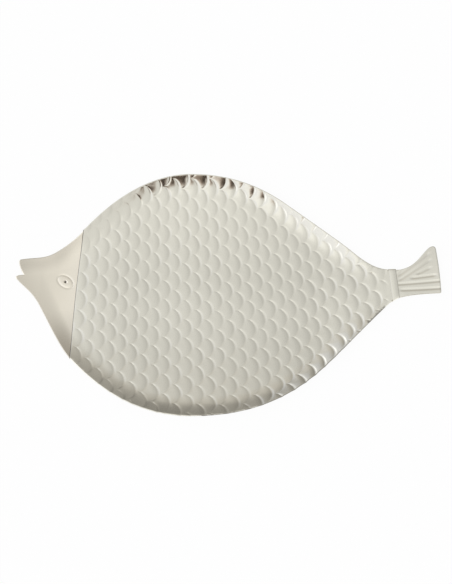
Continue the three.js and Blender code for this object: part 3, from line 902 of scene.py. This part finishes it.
def body_tone_and_shade(x, y):
    """Patina in the chased lines, darker short of the neck, painted shade at the gill seam and the belly's
    edge.
    """
    # Painted shadow along the gill seam
    if past_gill(x, y) < SEAM_WIDTH:
        return 1.0
    # Painted shade along the belly's edge
    if BELLY_SHADED_FROM < x < BELLY_SHADED_TO and belly_inset(x, y) < EDGE_WIDTH:
        return BELLY_EDGE_SHADE
    # An even darkening that fades out towards the neck, and patina in the chased lines
    ground = BODY_DARKENING * (1 - smooth(x, *BODY_DARKENING_FADE))
    return ground + SCALE_TONING * scale_depth(x, y)


def sharpen_seam(body):
    """Keeps the upper edge crisp along the gill seam, while the body is still flat."""
    def on_seam(point):
        return point.z > -SHEET_ROUND * MM and past_gill(point.x / MM, point.y / MM) < SEAM_EDGE
    select_edges(body, lambda start, end: on_seam(start) and on_seam(end))
    bpy.ops.mesh.mark_sharp()
    stop_editing()


def make_body():
    """The dished body with its chased scales."""
    outline = set_in(body_outline(), SHEET)
    columns = (2 * SCALE_COLUMNS + 1) * (len(FIELD_LINES) + len(SCALE_LINES)) - 1
    rows = 2 * SCALE_ROWS * ARC_STEPS
    body = flat_block("silver_body", columns, rows, scale_grid_point)
    cut_to_outline(body, outline)
    thicken(body)
    sharpen_seam(body)
    form_sheet(body, outline, body_top, body_bulge)
    mark_tone_and_shade(body, body_tone_and_shade)
    return body


def head_shade(x, y):
    """Painted shade on the head: browner along the brow, down the cheek and at the jaw's very edge."""
    if belly_inset(x, y) < EDGE_WIDTH:
        return EDGE_SHADE
    brow = (1 - smooth(back_inset(x, y), *BROW_SHADED_BAND)) * smooth(-x, *BROW_SHADED)
    cheek = smooth(-y, *CHEEK_SHADED_DOWN) * smooth(x, *CHEEK_SHADED)
    return BROW_SHADE * brow + CHEEK_SHADE * cheek


def head_top(x, y):
    """The height of the head's upper side, which sinks into a groove round the eye."""
    aside = Vector((x, y)) - EYE_PLACE
    along = (aside.x * math.cos(EYE_TILT) + aside.y * math.sin(EYE_TILT)) / EYE_HALF_LENGTH
    across = (aside.y * math.cos(EYE_TILT) - aside.x * math.sin(EYE_TILT)) / EYE_HALF_WIDTH
    return HEAD_TOP - EYE_SINK * (1 - smooth(math.hypot(along, across), 1, EYE_SINK_REACH))


def make_head():
    """The plain head, which slips under the body's front edge."""
    outline = set_in(head_outline(), HEAD_TOP)
    head = even_block("silver_head", outline, HEAD_GRID)
    cut_to_outline(head, outline)
    thicken(head)
    form_sheet(head, outline, head_top, half_round)
    mark_tone_and_shade(head, head_shade)
    return head


def turned_form(name, sides, profile):
    """A closed form built up ring by ring from half length, half width and height."""
    first_length, first_width, first_height = profile[0]
    bpy.ops.object.select_all(action="DESELECT")
    bpy.ops.mesh.primitive_circle_add(vertices=sides, radius=MM, fill_type="NGON")
    form = bpy.context.object
    form.name = name
    bpy.context.tool_settings.mesh_select_mode = (False, False, True)
    start_editing(form)
    bpy.ops.mesh.select_all(action="SELECT")
    bpy.ops.transform.resize(value=(first_length, first_width, 1))
    bpy.ops.transform.translate(value=(0, 0, first_height * MM))
    for (length0, width0, height0), (length1, width1, height1) in zip(profile, profile[1:]):
        rise = (0, 0, (height1 - height0) * MM)
        bpy.ops.mesh.extrude_region_move(TRANSFORM_OT_translate={"value": rise})
        bpy.ops.transform.resize(value=(length1 / length0, width1 / width0, 1))
    bpy.ops.mesh.select_all(action="SELECT")
    bpy.ops.mesh.normals_make_consistent(inside=False)
    stop_editing()
    return form


def set_on_head(form, tilt):
    """Turns a form made at the origin, moves it to the eye and lifts it onto the formed surface."""
    for vertex in form.data.vertices:
        x = vertex.co.x * math.cos(tilt) - vertex.co.y * math.sin(tilt)
        y = vertex.co.x * math.sin(tilt) + vertex.co.y * math.cos(tilt)
        lift = dish(EYE_PLACE.x + x / MM, EYE_PLACE.y + y / MM)
        vertex.co = Vector((EYE_PLACE.x * MM + x, EYE_PLACE.y * MM + y, vertex.co.z + lift * MM))


def make_eye():
    """The oval eye: a low dome that rises out of its groove, with a seat for the pupil."""
    groove = HEAD_TOP - EYE_SINK
    profile = []
    for share, rise in EYE_RINGS:
        profile.append((EYE_HALF_LENGTH * share, EYE_HALF_WIDTH * share, groove + EYE_RISE * rise))
    seat = PUPIL_RADIUS + PUPIL_GAP
    profile.append((seat, seat, groove + EYE_RISE))
    profile.append((seat, seat, groove + EYE_SEAT))
    eye = turned_form("silver_eye", EYE_SIDES, profile)
    set_on_head(eye, EYE_TILT)
    mark_tone_and_shade(eye, lambda x, y: 0.0)
    return eye


def make_rivet():
    """The rivet: its tail under the head, its shank, and the domed pupil."""
    tail_top_height = HEAD_TOP - SHEET - JOINT_GAP
    underside = tail_top_height - RIVET_TAIL_HEIGHT
    profile = [
        (RIVET_TAIL_RADIUS - RIVET_TAIL_ROUND, underside),
        (RIVET_TAIL_RADIUS, underside + RIVET_TAIL_ROUND),
        (RIVET_TAIL_RADIUS - RIVET_TAIL_DRAFT, tail_top_height),
        (RIVET_SHANK, tail_top_height),
        (RIVET_SHANK, HEAD_TOP - PUPIL_SINK),
        (PUPIL_RADIUS, HEAD_TOP - PUPIL_SINK),
    ]
    profile += [(PUPIL_RADIUS * share, HEAD_TOP + rise) for share, rise in PUPIL_RINGS]
    rivet = turned_form("silver_rivet", RIVET_SIDES, [(r, r, height) for r, height in profile])
    set_on_head(rivet, 0)
    # The pupil is painted dark, as shade
    mark_tone_and_shade(rivet, lambda x, y: PUPIL_SHADE)
    return rivet


def rounded(value, square):
    """A circle's sine or cosine, squared off towards a box."""
    return math.copysign(abs(value) ** (2 / square), value)


def collar_point(angle, across):
    """A point of the collar's outer side: the angle round the neck and the share across the band."""
    offset = across * COLLAR_WIDTH
    low = neck_point(BELLY_EDGE, offset, 0).y
    high = neck_point(BACK_EDGE, offset, 0).y
    y = mix(low, high, (1 + rounded(math.cos(angle), COLLAR_SQUARE)) / 2)
    x = collar_x(y, offset)
    height = mix(COLLAR_UNDERSIDE, COLLAR_TOP, (1 + rounded(math.sin(angle), COLLAR_SQUARE)) / 2)
    crown = COLLAR_CROWN * 4 * across * (1 - across) * max(0.0, math.sin(angle))
    return Vector((x, y, dish(x, y) + height + crown))


def collar_shade(x, y):
    """Painted shade on the collar: darker on the tail's side and at both edges of the band."""
    across = (x - collar_x(y, 0)) / COLLAR_WIDTH
    edges = 1 - between(across, COLLAR_LINE_START, COLLAR_LINE_END)
    return COLLAR_EDGE_SHADE * edges + BAND_SIDE_SHADE * smooth(across, *BAND_SHADED)


def make_collar():
    """The crowned band round the neck."""
    bpy.ops.object.select_all(action="DESELECT")
    bpy.ops.mesh.primitive_cylinder_add(vertices=COLLAR_SIDES, radius=1, depth=1, end_fill_type="NOTHING")
    collar = bpy.context.object
    collar.name = "silver_collar"
    select_edges(collar, lambda start, end: abs(start.z - end.z) > 0.5)
    bpy.ops.mesh.subdivide(number_cuts=COLLAR_RINGS - 2)
    stop_editing()
    for vertex in collar.data.vertices:
        angle = math.atan2(vertex.co.y, vertex.co.x)
        vertex.co = collar_point(angle, vertex.co.z + 0.5) * MM
    start_editing(collar)
    bpy.ops.mesh.select_all(action="SELECT")
    bpy.ops.mesh.normals_make_consistent(inside=False)
    stop_editing()
    apply_modifier(collar, "SOLIDIFY", thickness=COLLAR_WALL * MM, offset=-1)
    rounding = {"width": COLLAR_BEVEL * MM, "segments": 2}
    apply_modifier(collar, "BEVEL", limit_method="ANGLE", angle_limit=COLLAR_BEVEL_ANGLE, **rounding)
    mark_tone_and_shade(collar, collar_shade)
    return collar


def beside_ray(x, y, root_share, end_share):
    """How far a point of the tail lies above a ray, and its share of the way along it."""
    root_y = mix(NECK_LOW, NECK_TOP, root_share)
    root = Vector((collar_x(root_y, COLLAR_WIDTH), root_y))
    end = Vector((HALF_LENGTH, mix(TAIL_CORNER_Y, TAIL_TIP_Y, end_share)))
    run = end - root
    place = Vector((x, y)) - root
    above = (place.y * run.x - place.x * run.y) / run.length
    return above, place.dot(run) / run.length_squared


def ray_depth(x, y):
    """How deep the tail's rays are at a point, as a share of the full depth."""
    depth = 0.0
    for root_share, end_share, start, stop in TAIL_RAYS:
        above, along = beside_ray(x, y, root_share, end_share)
        cut = smooth(along, start, start + RAY_FADE) * (1 - smooth(along, stop - RAY_FADE, stop))
        side = RAY_UPPER_SIDE if above > 0 else RAY_LOWER_SIDE
        depth = max(depth, cut * (1 - smooth(abs(above), 0, side)))
    return depth


def tail_top(x, y):
    """The height of the tail's upper side: cut by the rays, turned up below the lowest one."""
    below = max(0.0, -beside_ray(x, y, *LOW_RAY)[0])
    turn = below * smooth(x, collar_x(y, COLLAR_WIDTH), collar_x(y, 2 * COLLAR_WIDTH))
    return HEAD_TOP - RAY_DEPTH * ray_depth(x, y) + LOW_TURN * turn


def tail_tone_and_shade(x, y):
    """Patina faint in the tail's rays, and painted shade towards its tip and end and beside the collar."""
    past_collar = x - collar_x(y, COLLAR_WIDTH)
    root = COLLAR_EDGE_SHADE * (1 - smooth(past_collar, *ROOT_SHADED))
    line = max(RAY_TONING * ray_depth(x, y), root)
    end_x = HALF_LENGTH - TAIL_TIP_SLANT * (y / TAIL_TIP_Y) ** 2
    end = END_SHADE * (1 - smooth(end_x - x, *END_SHADED))
    tip = TIP_SHADE * smooth(y, *TIP_SHADED)
    fan = FAN_SHADE * smooth(x, *FAN_SHADED)
    return line + end + tip + fan


def make_tail():
    """The pleated tail fin, whose tongue runs through the collar."""
    outline = set_in(tail_outline(), HEAD_TOP - RAY_DEPTH)
    tail = even_block("silver_tail", outline, TAIL_GRID)
    cut_to_outline(tail, outline)
    thicken(tail)
    form_sheet(tail, outline, tail_top, half_round)
    mark_tone_and_shade(tail, tail_tone_and_shade)
    return tail


# Finishes

class Wire:
    """A node's output that takes part in sums."""

    def __init__(self, finish, socket):
        self.finish = finish
        self.socket = socket

    def sum(self, operation, first, second):
        settings = {"operation": operation}
        return self.finish.add("ShaderNodeMath", settings, {0: first, 1: second})

    def __add__(self, other):
        return self.sum("ADD", self, other)

    def __radd__(self, other):
        return self.sum("ADD", other, self)

    def __sub__(self, other):
        return self.sum("SUBTRACT", self, other)

    def __rsub__(self, other):
        return self.sum("SUBTRACT", other, self)

    def __mul__(self, other):
        return self.sum("MULTIPLY", self, other)

    def __rmul__(self, other):
        return self.sum("MULTIPLY", other, self)

    def __neg__(self):
        return self.sum("MULTIPLY", self, -1)

    def at_least(self, other):
        return self.sum("MAXIMUM", self, other)

    def at_most(self, other):
        return self.sum("MINIMUM", self, other)


class Finish:
    """The nodes of one material, or of the world."""

    def __init__(self, owner):
        owner.use_nodes = True
        self.nodes = owner.node_tree.nodes
        self.links = owner.node_tree.links
        self.nodes.clear()

    def add(self, kind, settings, inputs, output=0):
        """Adds a node with its settings, then its inputs by name or place, and gives one output."""
        node = self.nodes.new(kind)
        for name, value in settings.items():
            setattr(node, name, value)
        for key, value in inputs.items():
            socket = self.find(node.inputs, key)
            if isinstance(value, Wire):
                self.links.new(value.socket, socket)
            else:
                socket.default_value = value
        if not node.outputs:
            return None
        return Wire(self, self.find(node.outputs, output))

    def find(self, sockets, key):
        """A socket by its place, identifier or name."""
        if isinstance(key, int):
            return sockets[key]
        for socket in sockets:
            if socket.identifier == key:
                return socket
        return sockets[key]

    def ease(self, value, low, high):
        """A soft step from 0 at low to 1 at high."""
        settings = {"interpolation_type": "SMOOTHSTEP"}
        return self.add("ShaderNodeMapRange", settings, {"Value": value, "From Min": low, "From Max": high})

    def between(self, value, start, end):
        """1 between two soft steps and 0 outside them."""
        return self.ease(value, *start) * (1 - self.ease(value, *end))

    def blend(self, share, first, second):
        """Mixes two colours."""
        inputs = {"Factor_Float": share, "A_Color": first, "B_Color": second}
        return self.add("ShaderNodeMix", {"data_type": "RGBA"}, inputs, "Result_Color")

    def end(self, kind, shader):
        """Closes the nodes with the output that they feed."""
        self.add(kind, {}, {"Surface": shader})


def silver(name, bright, tone_and_shade_colour, roughness):
    """Silver plate, faintly mottled, with fine hand-rubbed marks; its attribute darkens it for patina in the
    chased lines and for painted shade.
    """
    material = bpy.data.materials.new(name)
    finish = Finish(material)
    place = finish.add("ShaderNodeTexCoord", {}, {}, "Object")
    tone_and_shade = finish.add("ShaderNodeAttribute", {"attribute_name": "tone_and_shade"}, {}, "Fac")
    mottle = finish.add("ShaderNodeTexNoise", {}, {"Vector": place, "Scale": MOTTLE_SCALE, "Detail": 3.0})
    grain = finish.add("ShaderNodeTexNoise", {}, {"Vector": place, "Scale": GRAIN_SCALE, "Detail": 2.0})
    wash = finish.add("ShaderNodeTexNoise", {}, {"Vector": place, "Scale": WASH_SCALE, "Detail": 1.0})
    uneven = (mottle - 0.5) * MOTTLE_TONE + (grain - 0.5) * GRAIN_TONE
    colour = finish.blend((tone_and_shade + uneven).at_least(0).at_most(1), bright, tone_and_shade_colour)
    rough = roughness + (mottle - 0.5) * MOTTLE_ROUGH + tone_and_shade * TONE_AND_SHADE_ROUGH
    relief = wash * WASH_RELIEF + grain * GRAIN_RELIEF
    depth = {"Strength": RELIEF_STRENGTH, "Distance": RELIEF_HEIGHT * MM, "Height": relief}
    bump = finish.add("ShaderNodeBump", {}, depth)
    inputs = {"Base Color": colour, "Metallic": 1.0, "Roughness": rough, "Normal": bump}
    shader = finish.add("ShaderNodeBsdfPrincipled", {}, inputs)
    finish.end("ShaderNodeOutputMaterial", shader)
    return material


def floor_finish():
    """A pale floor that reads as white and still takes the platter's shadow."""
    material = bpy.data.materials.new("pale_floor")
    finish = Finish(material)
    seen = finish.add("ShaderNodeLightPath", {}, {}, "Is Camera Ray")
    mirrored = finish.add("ShaderNodeLightPath", {}, {}, "Is Glossy Ray")
    through = finish.add("ShaderNodeLightPath", {}, {}, "Is Transmission Ray")
    share = (seen + mirrored + through).at_most(1) * FLOOR_WHITE
    matt = finish.add("ShaderNodeBsdfDiffuse", {}, {"Color": FLOOR_GREY})
    white = finish.add("ShaderNodeEmission", {}, {"Color": WHITE, "Strength": 1.0})
    shader = finish.add("ShaderNodeMixShader", {}, {0: share, 1: matt, 2: white})
    finish.end("ShaderNodeOutputMaterial", shader)
    return material


def studio_light():
    """A soft room: white on the left, dimmer to the right and the back, with a brown shade low in front."""
    world = bpy.data.worlds.new("soft_room")
    bpy.context.scene.world = world
    finish = Finish(world)
    direction = finish.add("ShaderNodeTexCoord", {}, {}, "Generated")
    parts = {"Vector": direction}
    right = finish.add("ShaderNodeSeparateXYZ", {}, parts, "X")
    back = finish.add("ShaderNodeSeparateXYZ", {}, parts, "Y")
    level = ROOM_LIGHT - back.at_least(0) * ROOM_FALL_BACK - right.at_most(ROOM_RIGHT_STOP) * ROOM_FALL_RIGHT
    left_wall = LEFT_WALL_LIGHT * finish.ease(-right, *LEFT_WALL)
    front_left = finish.between(-right, GLOW_LEFT_START, GLOW_LEFT_END)
    front_glow = GLOW_LIGHT * finish.ease(-back, *GLOW_FRONT) * front_left
    low_front = finish.between(-back, FRONT_SHADE_START, FRONT_SHADE_END)
    front_share = low_front * finish.between(right, FRONT_SHADE_LEFT, FRONT_SHADE_RIGHT)
    low_back = finish.ease(back, *BACK_SHADE_START)
    back_share = low_back * finish.between(right, BACK_SHADE_LEFT, BACK_SHADE_RIGHT)
    open_light = level.at_most(ROOM_MOST) + left_wall + front_glow
    light = (open_light - FRONT_SHADE * front_share - BACK_SHADE * back_share).at_least(ROOM_LEAST)
    back_tint = finish.blend(finish.ease(back, *BACK_TINT_START), WHITE, BACK_TINT)
    left_tint = finish.blend(finish.ease(-right, *LEFT_TINT_START), back_tint, LEFT_TINT)
    colour = finish.blend(front_share, left_tint, FRONT_SHADE_TINT)
    shader = finish.add("ShaderNodeBackground", {}, {"Color": colour, "Strength": light})
    finish.end("ShaderNodeOutputWorld", shader)


def make_floor():
    """The pale floor that the platter stands on."""
    bpy.ops.object.select_all(action="DESELECT")
    bpy.ops.mesh.primitive_plane_add(size=FLOOR_SIZE * MM, location=(0, 0, -FLOOR_DROP * MM))
    floor = bpy.context.object
    floor.name = "pale_floor"
    floor.data.materials.append(floor_finish())


def make_lamp():
    """One broad lamp from high on the front left, for a soft shadow on the floor."""
    bpy.ops.object.light_add(type="SUN", rotation=LAMP_TURN)
    lamp = bpy.context.object
    lamp.name = "broad_lamp"
    lamp.data.energy = LAMP_POWER
    lamp.data.angle = LAMP_SPREAD
    lamp.visible_glossy = False


def make_camera():
    """The camera, nearly overhead, at the photograph's angle."""
    bpy.ops.object.camera_add(location=CAMERA_PLACE * MM, rotation=(CAMERA_TILT, 0, 0))
    camera = bpy.context.object
    camera.data.lens = CAMERA_LENS
    camera.data.clip_end = CAMERA_REACH * MM
    bpy.context.scene.camera = camera


make_camera()
studio_light()
make_floor()
make_lamp()
bpy.context.scene.view_settings.view_transform = "Standard"

polished = silver("bright_plate", BRIGHT_SILVER, TONE_AND_SHADE_SILVER, BRIGHT_ROUGH)
satin = silver("rubbed_plate", RUBBED_SILVER, TONE_AND_SHADE_SILVER, RUBBED_ROUGH)
# The pupil's dark plate is painted shade
shaded = silver("dark_plate", SHADED_PUPIL_SILVER, SHADED_PUPIL_DARKEST, DARK_ROUGH)

PIECES = {
    "body_dish": (make_body, polished, "polished_silver"),
    "head_plate": (make_head, satin, "satin_silver"),
    "eye_boss": (make_eye, satin, "satin_silver"),
    "eye_rivet": (make_rivet, shaded, "shaded_silver"),
    "tail_collar": (make_collar, polished, "polished_silver"),
    "tail_fin": (make_tail, polished, "polished_silver"),
}
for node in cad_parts:
    make, material, slot = PIECES[node]
    piece = make()
    shade(piece)
    piece.data.materials.clear()
    piece.data.materials.append(material)
    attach(piece, "root")
    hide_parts(node)
